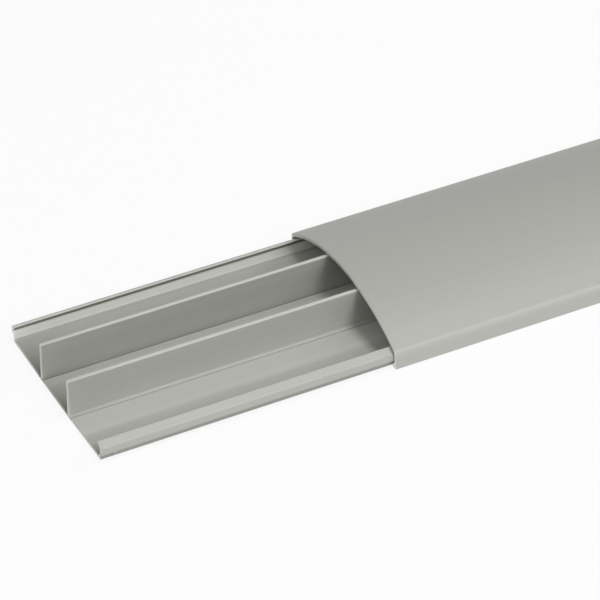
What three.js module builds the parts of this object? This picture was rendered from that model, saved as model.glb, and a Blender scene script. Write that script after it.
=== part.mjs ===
// Floor cord cover: an extruded base with three cable channels and the
// arched cover that snaps over its two edge lips, set back a little so that
// the channels show at one end.
// Millimetres, +X along the length, +Z up, origin under the middle of the base.

import * as THREE from 'three';

// Stock length of both pieces, and how far the cover stands back from flush.
const stockLength = 2000;
const coverSetBack = 102;

// Cover section: its crown is one arc that would meet the side walls at the shoulder height.
const coverWidth = 75;
const coverHeight = 17.5;
const shoulderHeight = 7;
const crownWall = 1.4;
const sideWall = 0.95;
const shoulderRadius = 2;
const innerShoulderRadius = 0.5;
const footEdgeRadius = 0.25;

// Hook along the foot of each side wall: an upright land below a ramp.
const hookReach = 1.2;
const hookLandHeight = 1.3;
const hookRampHeight = 1.3;

// Base plate, and the two dividers between the three channels.
const plateThickness = 1.2;
const plateEdgeRadius = 0.5;
const dividerSpacing = 21.5;
const dividerThickness = 1.5;
const dividerInnerFootRadius = 0.1;
const dividerOuterFootRadius = 0.6;
const dividerTopRadius = 0.35;

// Edge lip of the base: a leaning leg, thickest at its foot, that carries a flange above
// and a barb below.
const legThickness = 0.85;
const legFootThickness = 1.25;
const legLean = 1;
const legFootRadius = 0.25;
const waistRadius = 0.35;
const waistDrop = 1;
const flangeReach = 2.65;
const flangeDrop = 1.7;
const flangeThickness = 0.65;
const barbThickness = 0.5;
const notchDepth = 0.9;
const lipEdgeRadius = 0.2;

// Clearances between the base and the cover that slides and snaps over it.
const barbSideClearance = 0.3;
const barbHookClearance = 0.45;
const hookPlateClearance = 0.7;
const dividerCoverClearance = 0.4;
const flangeCoverClearance = 0.6;

// Segments of each small rounded corner and of the long crown arc.
const cornerSegments = 5;
const crownSegments = 40;

const pvcGrey = 0xb3b5ac;

function pvcMaterial() {
  return new THREE.MeshStandardMaterial({ color: pvcGrey, roughness: 0.45, metalness: 0 });
}

// Points of an outline whose corners are rounded by true arcs.
// Each corner is { y, z, radius }, in order round the outline.
function roundedOutline(corners) {
  const points = [];
  corners.forEach((corner, index) => {
    const here = new THREE.Vector2(corner.y, corner.z);
    const before = corners[(index + corners.length - 1) % corners.length];
    const after = corners[(index + 1) % corners.length];
    const toBefore = new THREE.Vector2(before.y, before.z).sub(here).normalize();
    const toAfter = new THREE.Vector2(after.y, after.z).sub(here).normalize();
    if (!corner.radius) {
      points.push(here);
      return;
    }
    const halfAngle = Math.acos(THREE.MathUtils.clamp(toBefore.dot(toAfter), -1, 1)) / 2;
    const tangentLength = corner.radius / Math.tan(halfAngle);
    const centreDistance = corner.radius / Math.sin(halfAngle);
    const centre = toBefore.clone().add(toAfter).normalize().multiplyScalar(centreDistance).add(here);
    const start = toBefore.multiplyScalar(tangentLength).add(here).sub(centre);
    const end = toAfter.multiplyScalar(tangentLength).add(here).sub(centre);
    const sweep = Math.atan2(start.cross(end), start.dot(end));
    for (let step = 0; step <= cornerSegments; step += 1) {
      const turned = start.clone().rotateAround(new THREE.Vector2(), sweep * step / cornerSegments);
      points.push(turned.add(centre));
    }
  });
  return points;
}

// Points along an arc about a centre on the section's middle line, both ends included.
function arcPoints(centreY, centreZ, radius, startAngle, endAngle, segments) {
  const points = [];
  for (let step = 0; step <= segments; step += 1) {
    const angle = THREE.MathUtils.lerp(startAngle, endAngle, step / segments);
    points.push(new THREE.Vector2(
      centreY + radius * Math.cos(angle),
      centreZ + radius * Math.sin(angle),
    ));
  }
  return points;
}

// The other half of a symmetrical section, in the order that closes the outline.
function mirrored(corners) {
  return corners.map((corner) => ({ ...corner, y: -corner.y })).reverse();
}

// A straight extrusion along X of an outline in the Y and Z plane.
function extrusion(name, outline, startX) {
  const shape = new THREE.Shape(outline);
  const geometry = new THREE.ExtrudeGeometry(shape, { depth: stockLength, bevelEnabled: false });
  const sectionToWorld = new THREE.Matrix4().makeBasis(
    new THREE.Vector3(0, 1, 0),
    new THREE.Vector3(0, 0, 1),
    new THREE.Vector3(1, 0, 0),
  );
  geometry.applyMatrix4(sectionToWorld);
  const mesh = new THREE.Mesh(geometry, pvcMaterial());
  mesh.name = name;
  mesh.position.x = startX;
  return mesh;
}

// Values that the two sections share.
const halfWidth = coverWidth / 2;
const crownRise = coverHeight - shoulderHeight;
const crownRadius = (halfWidth ** 2 + crownRise ** 2) / (2 * crownRise);
const crownCentreZ = coverHeight - crownRadius;
const ceilingRadius = crownRadius - crownWall;
const wallInnerY = halfWidth - sideWall;
const hookInnerY = wallInnerY - hookReach;
const hookTop = hookLandHeight + hookRampHeight;

// Height of the cover's underside at a distance from the middle line.
function ceilingAt(y) {
  return crownCentreZ + Math.sqrt(ceilingRadius ** 2 - y ** 2);
}

// Half of the base section, from its middle out along the top and back underneath.
function baseHalf() {
  const dividerInner = (dividerSpacing - dividerThickness) / 2;
  const dividerOuter = (dividerSpacing + dividerThickness) / 2;
  const dividerTop = ceilingAt(dividerOuter) - dividerCoverClearance;

  const plateEdge = hookInnerY - hookPlateClearance;
  const lipOuter = wallInnerY - barbSideClearance;
  const flangeTipY = lipOuter - flangeReach;
  const flangeTop = ceilingAt(flangeTipY) - flangeCoverClearance;
  const flangeSlope = Math.atan2(flangeDrop, flangeReach);
  const kneeHeight = flangeTop - flangeDrop;
  const waistHeight = kneeHeight - waistDrop;
  const barbTip = hookTop + barbHookClearance;
  const notchHeight = barbTip + notchDepth;
  const leanAtNotch = legLean * (notchHeight - plateThickness) / (waistHeight - plateThickness);

  return [
    { y: dividerInner, z: plateThickness, radius: dividerInnerFootRadius },
    { y: dividerInner, z: dividerTop, radius: dividerTopRadius },
    { y: dividerOuter, z: dividerTop, radius: dividerTopRadius },
    { y: dividerOuter, z: plateThickness, radius: dividerOuterFootRadius },
    { y: plateEdge - legFootThickness, z: plateThickness, radius: legFootRadius },
    { y: plateEdge + legLean - legThickness, z: waistHeight, radius: waistRadius },
    {
      y: flangeTipY - flangeThickness * Math.sin(flangeSlope),
      z: flangeTop - flangeThickness * Math.cos(flangeSlope),
      radius: lipEdgeRadius,
    },
    { y: flangeTipY, z: flangeTop, radius: lipEdgeRadius },
    { y: lipOuter, z: kneeHeight, radius: lipEdgeRadius },
    { y: lipOuter, z: barbTip, radius: lipEdgeRadius },
    { y: lipOuter - barbThickness, z: barbTip, radius: lipEdgeRadius },
    { y: plateEdge + leanAtNotch, z: notchHeight },
    { y: plateEdge, z: plateThickness },
    { y: plateEdge, z: 0, radius: plateEdgeRadius },
  ];
}

function base() {
  const half = baseHalf();
  const outline = roundedOutline([...half, ...mirrored(half)]);
  return extrusion('base', outline.reverse(), -stockLength / 2);
}

// One end of an arc of the cover: the rounded corner between a side wall and the crown.
function shoulder(wallY, arcRadius, cornerRadius) {
  const y = wallY - cornerRadius;
  const rise = Math.sqrt((arcRadius - cornerRadius) ** 2 - y ** 2);
  return { y, z: crownCentreZ + rise, turn: Math.atan2(rise, y) };
}

// Points over the cover from one side wall to the other, on its outer or inner face.
function archPoints(wallY, arcRadius, cornerRadius) {
  const { y, z, turn } = shoulder(wallY, arcRadius, cornerRadius);
  const right = arcPoints(y, z, cornerRadius, 0, turn, cornerSegments);
  const crown = arcPoints(0, crownCentreZ, arcRadius, turn, Math.PI - turn, crownSegments);
  const left = arcPoints(-y, z, cornerRadius, Math.PI - turn, Math.PI, cornerSegments);
  return [...right, ...crown.slice(1, -1), ...left];
}

// Points of one hooked foot, from inside the side wall round to its outer face.
function footPoints() {
  return roundedOutline([
    { y: wallInnerY, z: hookTop },
    { y: hookInnerY, z: hookLandHeight, radius: footEdgeRadius },
    { y: hookInnerY, z: 0, radius: footEdgeRadius },
    { y: halfWidth, z: 0, radius: footEdgeRadius },
    { y: halfWidth, z: hookTop },
  ]);
}

// The cover section: crown arc, rounded shoulders, straight side walls and inward hooks.
function coverOutline() {
  const outer = archPoints(halfWidth, crownRadius, shoulderRadius);
  const inner = archPoints(wallInnerY, ceilingRadius, innerShoulderRadius).reverse();
  const rightFoot = footPoints();
  const leftFoot = rightFoot.map((point) => new THREE.Vector2(-point.x, point.y)).reverse();
  return [...outer, ...leftFoot, ...inner, ...rightFoot];
}

function cover() {
  return extrusion('cover', coverOutline(), coverSetBack - stockLength / 2);
}

const cordCover = new THREE.Group();
cordCover.name = 'floor_cord_cover';
cordCover.add(base(), cover());

export default cordCover;
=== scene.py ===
# Looks of the floor cord cover: both extrusions with fine rounded edges and
# saw-cut ends, satin PVC, a pale floor, soft light and the camera.
# +X along the length and +Z up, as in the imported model. The object's sizes are in
# millimetres, and MM turns them into Blender's metres.

import math

import bpy
from mathutils import Matrix, Vector


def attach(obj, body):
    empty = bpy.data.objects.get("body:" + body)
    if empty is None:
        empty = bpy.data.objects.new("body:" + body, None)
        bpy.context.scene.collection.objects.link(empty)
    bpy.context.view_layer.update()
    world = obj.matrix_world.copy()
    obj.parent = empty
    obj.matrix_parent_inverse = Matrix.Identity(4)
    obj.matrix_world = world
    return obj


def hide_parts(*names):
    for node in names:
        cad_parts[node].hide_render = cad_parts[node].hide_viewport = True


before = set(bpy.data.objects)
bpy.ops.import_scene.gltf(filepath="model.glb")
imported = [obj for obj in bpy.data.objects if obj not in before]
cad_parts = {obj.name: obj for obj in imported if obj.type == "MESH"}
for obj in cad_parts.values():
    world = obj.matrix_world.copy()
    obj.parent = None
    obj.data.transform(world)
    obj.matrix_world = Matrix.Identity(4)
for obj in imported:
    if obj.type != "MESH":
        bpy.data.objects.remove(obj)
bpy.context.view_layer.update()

MM = 0.001

# Sections.
STOCK_LENGTH = 2000.0
COVER_SET_BACK = 102.0

COVER_HALF_WIDTH = 37.5
COVER_HEIGHT = 17.5
SHOULDER_HEIGHT = 7.0
CROWN_WALL = 1.4
SIDE_WALL = 0.95
SHOULDER_RADIUS = 2.0
INNER_SHOULDER_RADIUS = 0.5
FOOT_EDGE_RADIUS = 0.25
HOOK_REACH = 1.2
HOOK_LAND_HEIGHT = 1.3
HOOK_RAMP_HEIGHT = 1.3

PLATE_THICKNESS = 1.2
PLATE_EDGE_RADIUS = 0.5
DIVIDER_SPACING = 21.5
DIVIDER_THICKNESS = 1.5
DIVIDER_TOP_RADIUS = 0.35

LEG_THICKNESS = 0.85
LEG_FOOT_THICKNESS = 1.25
LEG_LEAN = 1.0
LEG_FOOT_RADIUS = 0.25
WAIST_RADIUS = 0.35
WAIST_DROP = 1.0
FLANGE_REACH = 2.65
FLANGE_DROP = 1.7
FLANGE_THICKNESS = 0.65
BARB_THICKNESS = 0.5
NOTCH_DEPTH = 0.9
LIP_EDGE_RADIUS = 0.2

BARB_SIDE_CLEARANCE = 0.3
BARB_HOOK_CLEARANCE = 0.2
HOOK_PLATE_CLEARANCE = 0.7
DIVIDER_COVER_CLEARANCE = 0.4
FLANGE_COVER_CLEARANCE = 0.6

# Fine relief at each divider's foot: a crease on its inner side, and on its outer side
# a small fillet with a die line beyond it.
CREASE_WIDTH = 0.38
CREASE_DEPTH = 0.3
CREASE_UNDERCUT = 0.08
OUTER_FILLET = 0.6
LINE_OFFSET = 0.62
LINE_WIDTH = 0.45
LINE_DEPTH = 0.25

# How finely the curves are drawn, and the angle in degrees past which an edge is sharp.
CORNER_STEPS = 10
CROWN_STEPS = 96
SHARP_ANGLE = 32.0

CROWN_RISE = COVER_HEIGHT - SHOULDER_HEIGHT
CROWN_RADIUS = (COVER_HALF_WIDTH ** 2 + CROWN_RISE ** 2) / (2 * CROWN_RISE)
CROWN_CENTRE = COVER_HEIGHT - CROWN_RADIUS
CEILING_RADIUS = CROWN_RADIUS - CROWN_WALL
WALL_INNER = COVER_HALF_WIDTH - SIDE_WALL
HOOK_INNER = WALL_INNER - HOOK_REACH
HOOK_TOP = HOOK_LAND_HEIGHT + HOOK_RAMP_HEIGHT


def ceiling_at(y):
    """Height of the cover's underside at a distance from its middle."""
    return CROWN_CENTRE + math.sqrt(CEILING_RADIUS ** 2 - y ** 2)


def rounded_outline(corners):
    """Points (y, z) round a closed outline of corners (y, z, radius)."""
    points = []
    for index, (y, z, radius) in enumerate(corners):
        here = Vector((y, z))
        if not radius:
            points.append(here)
            continue
        to_before = (Vector(corners[index - 1][:2]) - here).normalized()
        to_after = (Vector(corners[(index + 1) % len(corners)][:2]) - here).normalized()
        half_angle = to_before.angle(to_after) / 2
        centre = here + (to_before + to_after).normalized() * (radius / math.sin(half_angle))
        start = here + to_before * (radius / math.tan(half_angle)) - centre
        end = here + to_after * (radius / math.tan(half_angle)) - centre
        sweep = math.atan2(start.cross(end), start.dot(end))
        for step in range(CORNER_STEPS + 1):
            turned = start.copy()
            turned.rotate(Matrix.Rotation(sweep * step / CORNER_STEPS, 2))
            points.append(turned + centre)
    return points


def mirrored(corners):
    """The other half of a symmetrical section, in the order that closes the outline."""
    return [(-y, z, radius) for y, z, radius in reversed(corners)]


def base_outline():
    """The base section: plate, two dividers and a lip along each edge."""
    divider_inner = (DIVIDER_SPACING - DIVIDER_THICKNESS) / 2
    divider_outer = (DIVIDER_SPACING + DIVIDER_THICKNESS) / 2
    divider_top = ceiling_at(divider_outer) - DIVIDER_COVER_CLEARANCE
    plate_edge = HOOK_INNER - HOOK_PLATE_CLEARANCE
    lip_outer = WALL_INNER - BARB_SIDE_CLEARANCE
    flange_tip = lip_outer - FLANGE_REACH
    flange_top = ceiling_at(flange_tip) - FLANGE_COVER_CLEARANCE
    slope = math.atan2(FLANGE_DROP, FLANGE_REACH)
    knee = flange_top - FLANGE_DROP
    waist = knee - WAIST_DROP
    barb_tip = HOOK_TOP + BARB_HOOK_CLEARANCE
    notch = barb_tip + NOTCH_DEPTH
    lean_at_notch = LEG_LEAN * (notch - PLATE_THICKNESS) / (waist - PLATE_THICKNESS)
    under_flange_y = flange_tip - FLANGE_THICKNESS * math.sin(slope)
    under_flange_z = flange_top - FLANGE_THICKNESS * math.cos(slope)
    half = [
        (divider_inner - CREASE_WIDTH, PLATE_THICKNESS, 0),
        (divider_inner - CREASE_WIDTH / 2, PLATE_THICKNESS - CREASE_DEPTH, 0),
        (divider_inner + CREASE_UNDERCUT, PLATE_THICKNESS - CREASE_DEPTH, 0),
        (divider_inner + CREASE_UNDERCUT, PLATE_THICKNESS, 0),
        (divider_inner, PLATE_THICKNESS + CREASE_WIDTH, 0),
        (divider_inner, divider_top, DIVIDER_TOP_RADIUS),
        (divider_outer, divider_top, DIVIDER_TOP_RADIUS),
        (divider_outer, PLATE_THICKNESS, OUTER_FILLET),
        (divider_outer + LINE_OFFSET, PLATE_THICKNESS, 0),
        (divider_outer + LINE_OFFSET + LINE_WIDTH / 2, PLATE_THICKNESS - LINE_DEPTH, 0),
        (divider_outer + LINE_OFFSET + LINE_WIDTH, PLATE_THICKNESS, 0),
        (plate_edge - LEG_FOOT_THICKNESS, PLATE_THICKNESS, LEG_FOOT_RADIUS),
        (plate_edge + LEG_LEAN - LEG_THICKNESS, waist, WAIST_RADIUS),
        (under_flange_y, under_flange_z, LIP_EDGE_RADIUS),
        (flange_tip, flange_top, LIP_EDGE_RADIUS),
        (lip_outer, knee, LIP_EDGE_RADIUS),
        (lip_outer, barb_tip, LIP_EDGE_RADIUS),
        (lip_outer - BARB_THICKNESS, barb_tip, LIP_EDGE_RADIUS),
        (plate_edge + lean_at_notch, notch, 0),
        (plate_edge, PLATE_THICKNESS, 0),
        (plate_edge, 0, PLATE_EDGE_RADIUS),
    ]
    return rounded_outline(half + mirrored(half))


def arc(y, z, radius, start, end, steps):
    """Points along an arc about (y, z), both ends included."""
    angles = [start + (end - start) * step / steps for step in range(steps + 1)]
    return [Vector((y + radius * math.cos(a), z + radius * math.sin(a))) for a in angles]


def arch(wall, radius, corner):
    """Points over the cover from one wall to the other, on one face."""
    y = wall - corner
    rise = math.sqrt((radius - corner) ** 2 - y ** 2)
    turn = math.atan2(rise, y)
    right = arc(y, CROWN_CENTRE + rise, corner, 0, turn, CORNER_STEPS)
    crown = arc(0, CROWN_CENTRE, radius, turn, math.pi - turn, CROWN_STEPS)
    left = arc(-y, CROWN_CENTRE + rise, corner, math.pi - turn, math.pi, CORNER_STEPS)
    return right + crown[1:-1] + left


def cover_outline():
    """The cover section: crown, rounded shoulders, side walls and inward hooks."""
    outer = arch(COVER_HALF_WIDTH, CROWN_RADIUS, SHOULDER_RADIUS)
    inner = arch(WALL_INNER, CEILING_RADIUS, INNER_SHOULDER_RADIUS)[::-1]
    foot = rounded_outline([
        (WALL_INNER, HOOK_TOP, 0),
        (HOOK_INNER, HOOK_LAND_HEIGHT, FOOT_EDGE_RADIUS),
        (HOOK_INNER, 0, FOOT_EDGE_RADIUS),
        (COVER_HALF_WIDTH, 0, FOOT_EDGE_RADIUS),
        (COVER_HALF_WIDTH, HOOK_TOP, 0),
    ])
    left_foot = [Vector((-p.x, p.y)) for p in reversed(foot)]
    return outer + left_foot + inner + foot


def runs_clockwise(points):
    """Whether a closed outline runs clockwise, with Y to the right and Z up."""
    return sum(points[i - 1].cross(points[i]) for i in range(len(points))) < 0


# The least cosine that an inset divides by, so that sharp corners stay short.
LEAST_MITRE = 0.5


def inset(points, distance):
    """The outline moved inwards by a distance, point by point."""
    side = -1 if runs_clockwise(points) else 1
    moved = []
    for i, here in enumerate(points):
        before = (here - points[i - 1]).normalized()
        after = (points[(i + 1) % len(points)] - here).normalized()
        along = (before + after).normalized()
        lean = max(along.dot(after), LEAST_MITRE)
        inward = Vector((-along.y, along.x)) * side
        moved.append(here + inward * (distance / lean))
    return moved


def link(name, data):
    """A new object of the scene, from a mesh, a light or a lens."""
    piece = bpy.data.objects.new(name, data)
    bpy.context.scene.collection.objects.link(piece)
    return piece


def loft(name, rings, inside_out):
    """A closed smooth piece through rings of points (x, y, z) in millimetres. inside_out is
    for rings that run clockwise, seen from the last ring."""
    count = len(rings[0])
    last = (len(rings) - 1) * count
    faces = []
    for first in range(0, last, count):
        for i in range(count):
            j = (i + 1) % count
            faces.append((first + i, first + j, first + count + j, first + count + i))
    faces.append(tuple(range(count - 1, -1, -1)))
    faces.append(tuple(range(last, last + count)))
    mesh = bpy.data.meshes.new(name)
    mesh.from_pydata([(x * MM, y * MM, z * MM) for ring in rings for x, y, z in ring], [], faces)
    mesh.validate()
    mesh.update()
    if inside_out:
        mesh.flip_normals()
    mesh.shade_smooth()
    return link(name, mesh)


# Shares of the length at which an extrusion has a ring between its ends.
RING_SHARES = (0.004, 0.02, 0.1, 0.3, 0.5, 0.7, 0.9, 0.98, 0.996)


def extrude(name, outline, start, cut, end_break):
    """A stock length of a section, from start along X, with broken end edges. cut(y, z) is how
    far the saw cut lies inside the nominal end; the far end is the near one turned round."""
    inner = inset(outline, end_break)
    end = start + STOCK_LENGTH
    sections = [(start, inner, 1), (start + end_break, outline, 1)]
    sections += [(start + STOCK_LENGTH * share, outline, 0) for share in RING_SHARES]
    sections += [(end - end_break, outline, -1), (end, inner, -1)]
    rings = [
        [(x + side * cut(p.x * side, p.y), p.x, p.y) for p in section]
        for x, section, side in sections
    ]
    piece = loft(name, rings, inside_out=runs_clockwise(outline))
    piece.data.set_sharp_from_angle(angle=math.radians(SHARP_ANGLE))
    return piece


# How the saw leaves the ends: a small broken edge, and on the base a cut that bows outwards
# at the foot and flares out at the underside of the plate. The bow has a middle and a half
# width across. Past them it turns in, by at most a share of itself, and it ends at a height.
BASE_END_BREAK = 0.12
COVER_END_BREAK = 0.2
CUT_BOW = 0.55
CUT_FLARE = 0.35
CUT_DEPTH = CUT_BOW + CUT_FLARE
BOW_MIDDLE = 4.0
BOW_HALF_WIDTH = 34.0
BOW_TURNED_IN = 0.3
BOW_HEIGHT = 14.0


def base_cut(y, z):
    """How far the base's saw cut lies inside its nominal end."""
    offset = abs((y - BOW_MIDDLE) / BOW_HALF_WIDTH)
    bow = CUT_BOW * max(1 - offset ** 2, -BOW_TURNED_IN) * max(1 - z / BOW_HEIGHT, 0)
    flare = CUT_FLARE * max(1 - offset ** 4, 0) * max(1 - z / PLATE_THICKNESS, 0)
    return CUT_DEPTH - bow - flare


def cover_cut(y, z):
    """The cover's saw cut is square."""
    return CUT_DEPTH


class Nodes:
    """Short calls for building a node tree, each giving a node or its output."""

    def __init__(self, tree):
        self.tree = tree
        tree.nodes.clear()

    def add(self, kind, inputs=None, **settings):
        """A node whose inputs are set to values or linked to other nodes' outputs."""
        node = self.tree.nodes.new(kind)
        for key, value in settings.items():
            setattr(node, key, value)
        for key, value in (inputs or {}).items():
            socket = node.inputs[key]
            if isinstance(value, bpy.types.NodeSocket):
                self.tree.links.new(value, socket)
            else:
                socket.default_value = value
        return node

    def maths(self, operation, *values):
        """The result of an operation on numbers."""
        return self.add("ShaderNodeMath", dict(enumerate(values)), operation=operation).outputs[0]

    def vector_maths(self, operation, *values):
        """The result of an operation on vectors or colours."""
        node = self.add("ShaderNodeVectorMath", dict(enumerate(values)), operation=operation)
        return node.outputs["Vector"]

    def product(self, first, second):
        """Two numbers multiplied."""
        return self.maths("MULTIPLY", first, second)

    def split(self, vector):
        """The X, Y and Z of a vector."""
        return self.add("ShaderNodeSeparateXYZ", {0: vector}).outputs

    def scaled(self, value, low, high, to_low, to_high):
        """The range from low to high turned into another one, and held at its ends."""
        limits = {"From Min": low, "From Max": high, "To Min": to_low, "To Max": to_high}
        return self.add("ShaderNodeMapRange", {"Value": value, **limits}).outputs["Result"]

    def ramp(self, place, start, end, start_tone, end_tone):
        """A change of tone between two places in millimetres."""
        return self.scaled(place, start * MM, end * MM, start_tone, end_tone)

    def band(self, place, low, high, soft):
        """1 between two places in millimetres, with soft edges."""
        rising = self.ramp(place, low - soft, low + soft, 0.0, 1.0)
        falling = self.ramp(place, high - soft, high + soft, 1.0, 0.0)
        return self.product(rising, falling)

    def where(self, mask, tone):
        """The tone where the mask is 1, and 1 where it is 0."""
        return self.add("ShaderNodeMix", {0: mask, 2: 1.0, 3: tone}).outputs[0]

    def noise(self, place, cells, detail, roughness):
        """Noise with a number of cells per metre along each axis."""
        mapped = self.add("ShaderNodeMapping", {"Vector": place, "Scale": cells}).outputs["Vector"]
        inputs = {"Vector": mapped, "Scale": 1.0, "Detail": detail, "Roughness": roughness}
        return self.add("ShaderNodeTexNoise", inputs).outputs["Fac"]


def material(name):
    """A new material, and the calls that build its nodes."""
    made = bpy.data.materials.new(name)
    made.use_nodes = True
    return made, Nodes(made.node_tree)


# Painted light: sawn faces, which look along X, are made paler than the skin of both extrusions.
SAWN_FACE_LIGHT = 1.5

# Which way a face of the base looks, told by the part of its normal that points outwards,
# upwards or along X: the range in which each mask changes, and the mask at both its ends.
LOOKS_IN = (-0.6, -0.3, 1.0, 0.0)
LOOKS_OUT = (-0.1, 0.1, 0.0, 1.0)
LOOKS_UP = (0.4, 0.8, 0.0, 1.0)
LOOKS_DOWN = (-0.4, -0.2, 1.0, 0.0)
LOOKS_ALONG = (0.5, 0.8, 0.0, 1.0)

# Painted light and shade in strips along the base: painted highlights on the lips' inner legs,
# flange tips and knees, on the dividers' tops and their outer fillets, and painted shade under the
# flanges, on the plate's edges below the barbs and in the grooves at the dividers' feet. Each
# strip gives which way it faces (inwards, outwards, up, down or any), its limits from the middle
# and up, and the tone there.
PAINTED_LIGHT_STRIPS = (
    ("in", (33.3, 35.2), (1.75, 4.35), 1.62),
    ("in", (33.3, 35.2), (3.2, 4.4), 1.13),
    ("in", (32.8, 34.0), (6.3, 7.2), 1.3),
    ("down", (32.8, 35.6), (4.4, 7.0), 0.45),
    ("out", (34.3, 35.9), (-0.5, 4.0), 0.7),
    ("up", (9.0, 12.5), (14.6, 15.6), 1.4),
    ("any", (9.4, 13.0), (0.7, 1.15), 0.75),
    ("out", (11.3, 11.9), (1.45, 2.1), 1.1),
    ("any", (11.65, 12.7), (1.0, 1.4), 0.82),
    ("up", (33.7, 34.3), (6.9, 7.4), 1.09),
    ("any", (35.6, 36.15), (5.6, 6.2), 1.07),
)
STRIP_SOFTNESS = 0.08

# Painted light and shade that change slowly, each between two heights or two places across, and
# the tone
# at both: the dividers' outer and inner faces painted lighter towards their feet, and painted
# light and shade across the top of the plate, lighter on the -Y side, with a painted shadow beside
# the -Y lip.
OUTER_FACE_PAINTED_LIGHT = (3.0, 13.0, 1.13, 0.96)
INNER_FACE_PAINTED_LIGHT = (2.0, 8.0, 1.13, 0.97)
PLATE_PAINTED_LIGHT = ((-26.0, 34.0, 1.09, 0.91), (-23.4, -21.6, 0.92, 1.04), (-20.5, -15.5, 1.0, 0.96))

# Masks for the dividers' faces, from the middle, and for the plate's top, up: both limits
# and the softness of the edges.
DIVIDER_FACE = (9.7, 12.2, 0.1)
PLATE_TOP = (0.9, 1.3, 0.04)

# Painted shade towards both ends of the base: over what length, between which places across with
# what softness, and the tone at the end. The channel on the -Y side keeps its tone.
END_SHADE_LENGTH = 22.0
END_SHADE_STRIP = (-12.4, 32.8, 0.2)
END_SHADE_TONE = 0.88


def changed(nodes, tone, mask, change):
    """The tone with a change, such as -0.1 for a tenth darker, where the mask is 1."""
    return nodes.product(tone, nodes.maths("ADD", nodes.product(mask, change), 1.0))


def base_painted_light(nodes, place, facing):
    """Painted light and shade on the base: painted light on the sawn ends, and painted highlights
    and painted shade along it.
    """
    along, across, height = nodes.split(place)
    normal_x, normal_y, normal_z = nodes.split(facing)
    from_middle = nodes.maths("ABSOLUTE", across)
    outward = nodes.product(normal_y, nodes.maths("SIGN", across))
    looks = {
        "in": nodes.scaled(outward, *LOOKS_IN),
        "out": nodes.scaled(outward, *LOOKS_OUT),
        "up": nodes.scaled(normal_z, *LOOKS_UP),
        "down": nodes.scaled(normal_z, *LOOKS_DOWN),
        "any": 1.0,
    }
    # Painted light on the sawn faces.
    sawn = nodes.scaled(nodes.maths("ABSOLUTE", normal_x), *LOOKS_ALONG)
    tone = nodes.scaled(sawn, 0.0, 1.0, 1.0, SAWN_FACE_LIGHT)

    # Painted light and shade on the dividers' faces and the plate's top.
    divider_face = nodes.band(from_middle, *DIVIDER_FACE)
    plate_top = nodes.product(nodes.band(height, *PLATE_TOP), looks["up"])
    for mask, coordinate, (start, end, start_tone, end_tone) in (
        (nodes.product(divider_face, looks["out"]), height, OUTER_FACE_PAINTED_LIGHT),
        (nodes.product(divider_face, looks["in"]), height, INNER_FACE_PAINTED_LIGHT),
        *((plate_top, across, tones) for tones in PLATE_PAINTED_LIGHT),
    ):
        change = nodes.ramp(coordinate, start, end, start_tone - 1, end_tone - 1)
        tone = changed(nodes, tone, mask, change)

    # Painted shade towards both ends.
    half_length = STOCK_LENGTH / 2
    end_shade_start = half_length - END_SHADE_LENGTH
    lengthwise = nodes.maths("ABSOLUTE", along)
    end_shade = nodes.ramp(lengthwise, end_shade_start, half_length, 0.0, END_SHADE_TONE - 1)
    tone = changed(nodes, tone, nodes.band(across, *END_SHADE_STRIP), end_shade)

    # Strips of painted highlight and painted shade.
    for way, sides, heights, strip_light in PAINTED_LIGHT_STRIPS:
        strip = nodes.product(
            nodes.band(from_middle, *sides, STRIP_SOFTNESS),
            nodes.band(height, *heights, STRIP_SOFTNESS),
        )
        strip = nodes.product(strip, looks[way])
        tone = nodes.product(tone, nodes.scaled(strip, 0.0, 1.0, 1.0, strip_light))
    return tone


# A brown-tinted painted shadow on the plate behind each sawn corner at the open end: where each
# strip begins across, its width and its length, and its colour against the unshaded PVC.
END_SHADOWS = ((-34.4, 7.0, 8.0), (-10.0, 18.0, 10.0), (11.5, 16.0, 10.0))
END_SHADOW_COLOUR = (0.26, 0.23, 0.21)

# Its limits: the heights between which it fades, how far a face has to look up, how it grows
# behind the end, and the width over which its straight side begins.
END_SHADOW_HEIGHT = (1.25, 1.4, 1.0, 0.0)
END_SHADOW_LOOKS_UP = (0.6, 0.9, 0.0, 1.0)
END_SHADOW_GROWS = (0.5, 1.3, 0.3, 1.0)
END_SHADOW_SIDE = 0.1


def painted_end_shadow(nodes, place, facing, colour):
    """The colour with a brown painted shadow behind each sawn corner at the open end."""
    along, across, height = nodes.split(place)
    low = nodes.product(
        nodes.ramp(height, *END_SHADOW_HEIGHT),
        nodes.scaled(nodes.split(facing)["Z"], *END_SHADOW_LOOKS_UP),
    )
    end = -STOCK_LENGTH / 2
    grow_start, grow_end, start_share, end_share = END_SHADOW_GROWS
    for start, width, length in END_SHADOWS:
        behind = nodes.product(
            nodes.ramp(along, end + grow_start, end + grow_end, start_share, end_share),
            nodes.ramp(along, end, end + length, 1.0, 0.0),
        )
        beside = nodes.product(
            nodes.ramp(across, start, start + width, 1.0, 0.0),
            nodes.ramp(across, start - END_SHADOW_SIDE, start, 0.0, 1.0),
        )
        mask = nodes.product(beside, nodes.product(behind, low))
        darker = tuple(channel - 1 for channel in END_SHADOW_COLOUR)
        shade = nodes.vector_maths("MULTIPLY_ADD", mask, darker, (1, 1, 1))
        colour = nodes.vector_maths("MULTIPLY", colour, shade)
    return colour


# The cover's sawn ends: their near half gets still more painted light. The far half has a darker
# line, whose depths below the outer face and soft edge come first, then where it fades in across.
NEAR_RIM_LIGHT = 1.3
RIM_LINE_DEPTHS = (0.65, 0.2)
RIM_LINE_SOFTNESS = 0.06
RIM_LINE_FADE = (-16.0, -6.0, 0.0, 1.0)
RIM_LINE_TONE = 0.82

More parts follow.
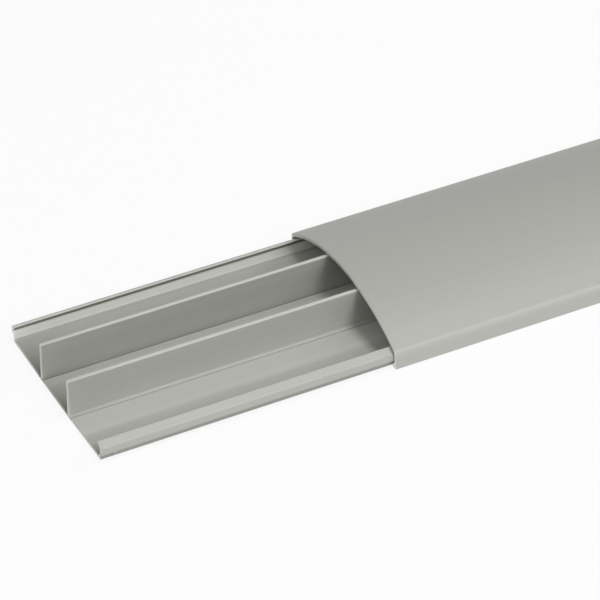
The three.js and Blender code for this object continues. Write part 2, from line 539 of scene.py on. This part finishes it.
# Its end faces look along X. Its broken edges, between them and the skin, carry a painted
# highlight.
LOOKS_FULLY_ALONG = (0.8, 0.9, 0.0, 1.0)
LOOKS_ALONG_AT_ALL = (0.3, 0.5, 0.0, 1.0)
LOOKS_ASLANT = (0.8, 0.9, 1.0, 0.0)
RIM_EDGE_HIGHLIGHT = 1.4

# Painted light on its side walls, strongest just below the shoulder, with painted shade a little
# above it:
# the mask across, and the tones between two pairs of heights.
SIDE_WALLS = (36.7, 37.0, 0.0, 1.0)
SIDE_WALL_LIGHT = (4.0, 6.2, 1.07, 1.17)
SHOULDER_SHADE = (6.6, 7.6, 1.0, 0.95)


def cover_painted_light(nodes, place, facing):
    """Painted light on the cover: sawn ends painted pale with a darker line, a painted highlight
    on the broken edge, and painted light on the side walls."""
    _, across, height = nodes.split(place)
    rise = nodes.maths("SUBTRACT", height, CROWN_CENTRE * MM)
    spoke = nodes.add("ShaderNodeCombineXYZ", {"Y": across, "Z": rise}).outputs[0]
    radius = nodes.add("ShaderNodeVectorMath", {0: spoke}, operation="LENGTH").outputs["Value"]
    normal_x = nodes.maths("ABSOLUTE", nodes.split(facing)["X"])
    sawn = nodes.scaled(normal_x, *LOOKS_FULLY_ALONG)
    far_half = nodes.ramp(across, *RIM_LINE_FADE)

    deepest, shallowest = (CROWN_RADIUS - depth for depth in RIM_LINE_DEPTHS)
    line = nodes.product(sawn, nodes.band(radius, deepest, shallowest, RIM_LINE_SOFTNESS))
    line = nodes.product(line, far_half)
    dark = nodes.scaled(line, 0.0, 1.0, 1.0, RIM_LINE_TONE)

    # Painted highlight on the broken edges.
    broken = nodes.product(
        nodes.scaled(normal_x, *LOOKS_ALONG_AT_ALL),
        nodes.scaled(normal_x, *LOOKS_ASLANT),
    )
    pale = nodes.scaled(broken, 0.0, 1.0, 1.0, RIM_EDGE_HIGHLIGHT)

    # Painted light on the sawn ends, stronger on the near half.
    rim_tone = nodes.scaled(far_half, 0.0, 1.0, NEAR_RIM_LIGHT * SAWN_FACE_LIGHT, SAWN_FACE_LIGHT)
    face = nodes.where(sawn, rim_tone)
    # Painted light on the side walls.
    wall_light = nodes.product(
        nodes.ramp(height, *SIDE_WALL_LIGHT),
        nodes.ramp(height, *SHOULDER_SHADE),
    )
    on_wall = nodes.ramp(nodes.maths("ABSOLUTE", across), *SIDE_WALLS)
    wall = nodes.where(on_wall, wall_light)
    return nodes.product(nodes.product(face, wall), nodes.product(dark, pale))


# Satin extruded PVC: cells per metre, detail and roughness of each noise, and the middle
# range that is used of them.
DIE_LINES = ((1.5, 900, 900), 4.0, 0.6)
BROAD_CHANGES = ((3.0, 60, 60), 3.0, 0.5)
GRAIN = ((2500, 2500, 2500), 2.0, 0.5)
NOISE_RANGE = (0.3, 0.7)

# How much they change the tone and the roughness, and the strength and depth of their relief.
BROAD_STRENGTH = 0.015
ROUGHNESS_CHANGE = 0.04
GRAIN_RELIEF = (0.15, 0.02)
DIE_LINE_RELIEF = (0.35, 0.04)
PVC_IOR = 1.5


def relief(nodes, height, strength, depth, **normal):
    """The normal of a bump, on top of another normal where one is given."""
    inputs = {"Height": height, "Strength": strength, "Distance": depth * MM, **normal}
    return nodes.add("ShaderNodeBump", inputs).outputs["Normal"]


def pvc(name, colour, roughness, line_strength, painted_light, shadow_paint=None):
    """Satin extruded PVC: lengthwise die lines, slow tone changes and fine grain. The last two
    arguments, functions of the place and the facing, add one piece's painted light and shade; the
    last may be left out."""
    made, nodes = material(name)
    coordinates = nodes.add("ShaderNodeTexCoord").outputs
    place = coordinates["Object"]
    facing = coordinates["Normal"]
    lines = nodes.noise(place, *DIE_LINES)
    broad = nodes.noise(place, *BROAD_CHANGES)
    grain = nodes.noise(place, *GRAIN)

    tone = nodes.product(
        nodes.scaled(lines, *NOISE_RANGE, 1 - line_strength, 1 + line_strength),
        nodes.scaled(broad, *NOISE_RANGE, 1 - BROAD_STRENGTH, 1 + BROAD_STRENGTH),
    )
    tone = nodes.product(tone, painted_light(nodes, place, facing))
    tint = nodes.add(
        "ShaderNodeVectorMath",
        {0: colour, "Scale": tone},
        operation="SCALE",
    ).outputs["Vector"]
    if shadow_paint:
        tint = shadow_paint(nodes, place, facing, tint)

    least, most = roughness - ROUGHNESS_CHANGE, roughness + ROUGHNESS_CHANGE
    fine = relief(nodes, grain, *GRAIN_RELIEF)
    surface = {
        "Base Color": tint,
        "Roughness": nodes.scaled(broad, *NOISE_RANGE, least, most),
        "IOR": PVC_IOR,
        "Normal": relief(nodes, lines, *DIE_LINE_RELIEF, Normal=fine),
    }
    shader = nodes.add("ShaderNodeBsdfPrincipled", surface)
    nodes.add("ShaderNodeOutputMaterial", {"Surface": shader.outputs["BSDF"]})
    return made


# Colour, roughness and strength of the die lines of each piece.
BASE_PVC = ((0.43, 0.436, 0.401), 0.5, 0.03)
COVER_PVC = ((0.406, 0.412, 0.38), 0.48, 0.01)

base = extrude("base_strip", base_outline(), -STOCK_LENGTH / 2, base_cut, BASE_END_BREAK)
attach(base, "base")
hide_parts("base")
base.data.materials.append(pvc("base_pvc", *BASE_PVC, base_painted_light, painted_end_shadow))


# Rings of the saw burr on the near lip: distance from the open end, across, up, half width
# and half thickness.
BURR_RINGS = (
    (5.4, -36.22, 3.5, 0.06, 0.03),
    (5.4, -36.26, 3.05, 0.16, 0.05),
    (5.35, -36.18, 2.5, 0.24, 0.06),
    (5.3, -35.75, 1.9, 0.26, 0.06),
    (5.25, -35.33, 1.4, 0.2, 0.05),
    (5.2, -35.12, 1.05, 0.1, 0.04),
)


def lip_burr():
    """A flake of plastic that the saw left hanging on the near lip."""
    rings = []
    for from_end, y, z, half_width, half_thickness in BURR_RINGS:
        x = from_end - STOCK_LENGTH / 2
        rings.append([
            (x - half_width, y, z),
            (x, y - half_thickness, z),
            (x + half_width, y, z),
            (x, y + half_thickness, z),
        ])
    return loft("lip_burr", rings, inside_out=True)


burr = lip_burr()
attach(burr, "base")
burr.data.materials.append(base.data.materials[0])

cover_start = COVER_SET_BACK - STOCK_LENGTH / 2
cover = extrude("cover_strip", cover_outline(), cover_start, cover_cut, COVER_END_BREAK)
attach(cover, "cover")
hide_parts("cover")
cover.data.materials.append(pvc("cover_pvc", *COVER_PVC, cover_painted_light))


# The pale floor, partly lit from below like a light table, so that shadows stay faint. It lies
# a little below the object. Half its side is in metres.
FLOOR_HALF_SIDE = 30.0
FLOOR_DROP = 0.1
FLOOR_MOTTLE = ((3, 3, 3), 2.0, 0.5)
FLOOR_GREYS = (0.119, 0.121)
FLOOR_GLOW = 0.862


def floor():
    """The studio floor, which isn't part of the object."""
    made, nodes = material("studio_floor")
    place = nodes.add("ShaderNodeTexCoord").outputs["Object"]
    grey = nodes.scaled(nodes.noise(place, *FLOOR_MOTTLE), *NOISE_RANGE, *FLOOR_GREYS)
    colour = nodes.add("ShaderNodeCombineColor", {"Red": grey, "Green": grey, "Blue": grey})
    diffuse = nodes.add("ShaderNodeBsdfDiffuse", {"Color": colour.outputs["Color"]})
    glow = nodes.add("ShaderNodeEmission", {"Color": (1, 1, 1, 1), "Strength": FLOOR_GLOW})
    both = nodes.add("ShaderNodeAddShader", {0: diffuse.outputs[0], 1: glow.outputs[0]})
    nodes.add("ShaderNodeOutputMaterial", {"Surface": both.outputs[0]})
    side = FLOOR_HALF_SIDE
    corners = [(-side, -side, 0), (side, -side, 0), (side, side, 0), (-side, side, 0)]
    mesh = bpy.data.meshes.new("studio_floor")
    mesh.from_pydata(corners, [], [(0, 1, 2, 3)])
    mesh.materials.append(made)
    piece = link("studio_floor", mesh)
    piece.location.z = -FLOOR_DROP * MM


floor()

# The lights: name, direction from the middle of the object, and power in watts. Their
# distance and side are in metres.
LIGHT_DISTANCE = 4.0
LIGHT_SIDE = 1.2
LIGHTS = (
    ("above", (0.0, -0.174, 0.985), 49),
    ("front", (0.0, -0.819, 0.574), 46),
    ("front_low", (0.0, -0.966, 0.259), 5.5),
    ("front_right", (0.542, -0.455, 0.707), 20),
    ("front_left", (-0.542, -0.455, 0.707), 7),
    ("front_left_high", (-0.242, -0.346, 0.906), 7),
    ("front_left_low", (-0.75, -0.433, 0.5), 7),
    ("right", (0.819, 0.0, 0.574), 20),
    ("open_end", (-0.819, 0.0, 0.574), 13),
    ("back", (0.0, 0.94, 0.342), 9),
)
SKY_STRENGTH = 0.2


def softbox(name, direction, power):
    """A large square area light that faces the middle of the object."""
    lamp = bpy.data.lights.new(name, "AREA")
    lamp.shape = "SQUARE"
    lamp.size = LIGHT_SIDE
    lamp.energy = power
    away = Vector(direction).normalized()
    piece = link(name, lamp)
    piece.location = away * LIGHT_DISTANCE
    piece.rotation_euler = away.to_track_quat("Z", "Y").to_euler()


for light in LIGHTS:
    softbox(*light)

world = bpy.data.worlds.new("studio")
world.use_nodes = True
sky = Nodes(world.node_tree)
sky_light = sky.add("ShaderNodeBackground", {"Color": (1, 1, 1, 1), "Strength": SKY_STRENGTH})
sky.add("ShaderNodeOutputWorld", {"Surface": sky_light.outputs["Background"]})
bpy.context.scene.world = world


# The camera, as fitted to the photograph: angles in degrees, how far in front of it the middle
# of the base's open end is at floor level, and the pixel where that point is seen.
CAMERA_YAW = 25.407
CAMERA_PITCH = 36.457
CAMERA_ROLL = -1.758
CAMERA_DEPTH = 1059.184
FOCAL_PIXELS = 3334.222
OPEN_END_PIXEL = (56.505, 399.574)
IMAGE_PIXELS = 600
SENSOR_WIDTH = 36.0


def add_camera():
    """The camera at the photograph's angle, in front of the open end."""
    yaw, pitch, roll = (math.radians(a) for a in (CAMERA_YAW, CAMERA_PITCH, CAMERA_ROLL))
    forward = Vector((
        math.sin(yaw) * math.cos(pitch),
        math.cos(yaw) * math.cos(pitch),
        -math.sin(pitch),
    ))
    level = Vector((math.cos(yaw), -math.sin(yaw), 0))
    upright = level.cross(forward)
    right = math.cos(roll) * level + math.sin(roll) * upright
    up = -math.sin(roll) * level + math.cos(roll) * upright
    middle = IMAGE_PIXELS / 2
    across = (OPEN_END_PIXEL[0] - middle) / FOCAL_PIXELS * CAMERA_DEPTH
    down = (OPEN_END_PIXEL[1] - middle) / FOCAL_PIXELS * CAMERA_DEPTH
    place = -(forward * CAMERA_DEPTH + right * across - up * down)
    place.x -= STOCK_LENGTH / 2 - CUT_DEPTH
    lens = bpy.data.cameras.new("camera")
    lens.sensor_width = SENSOR_WIDTH
    lens.lens = FOCAL_PIXELS * SENSOR_WIDTH / IMAGE_PIXELS
    camera = link("camera", lens)
    turn = Matrix((right, up, -forward)).transposed()
    camera.matrix_world = Matrix.Translation(place * MM) @ turn.to_4x4()
    bpy.context.scene.camera = camera


add_camera()

bpy.context.scene.view_settings.view_transform = "Standard"
bpy.context.scene.view_settings.look = "None"
